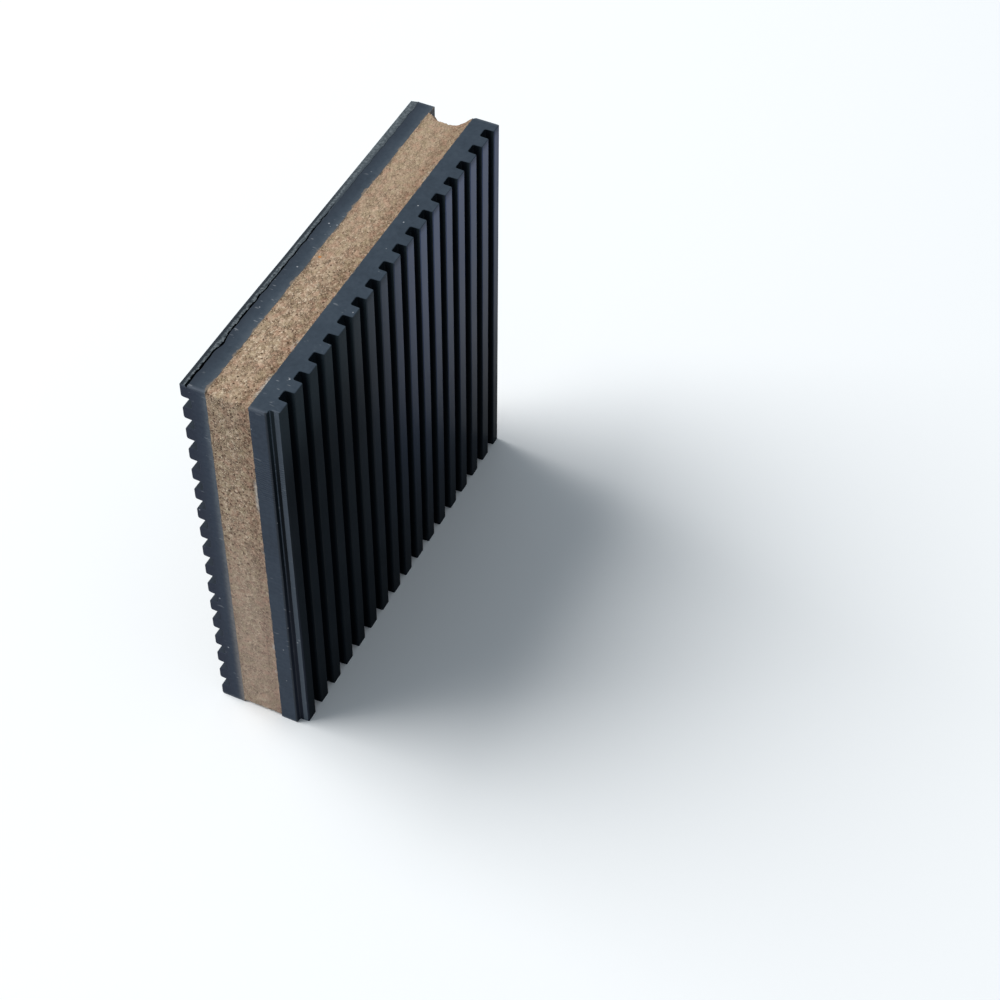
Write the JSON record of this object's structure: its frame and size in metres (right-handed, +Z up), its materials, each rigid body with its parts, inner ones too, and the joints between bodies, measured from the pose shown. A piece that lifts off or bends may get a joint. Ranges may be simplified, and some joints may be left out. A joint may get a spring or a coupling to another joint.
{
  "type": "anti vibration machine pad",
  "caption": "Square pad of pressed cork bonded between ribbed rubber sheets with crossing ribs, laid under a machine's foot to soak up vibration. Stored standing on a cut edge.",
  "frame": {"origin": "middle of the cut edge that the pad stands on, at floor level and at half its thickness", "axes": "+Z up, +X along the standing edge towards the worn end, +Y through the layers from the front rubber sheet to the rear one"},
  "size_m": [0.1016, 0.0222, 0.1013],
  "materials": {
    "ribbed_rubber": "matt moulded rubber, blue-black, with knife-cut edges",
    "pressed_cork": "bare granulated cork, tan with dark and pale grains"
  },
  "bodies": {
    "root": {"front_rubber_sheet": "ribbed_rubber", "cork_core": "pressed_cork", "rear_rubber_sheet": "ribbed_rubber"}
  },
  "joints": []
}
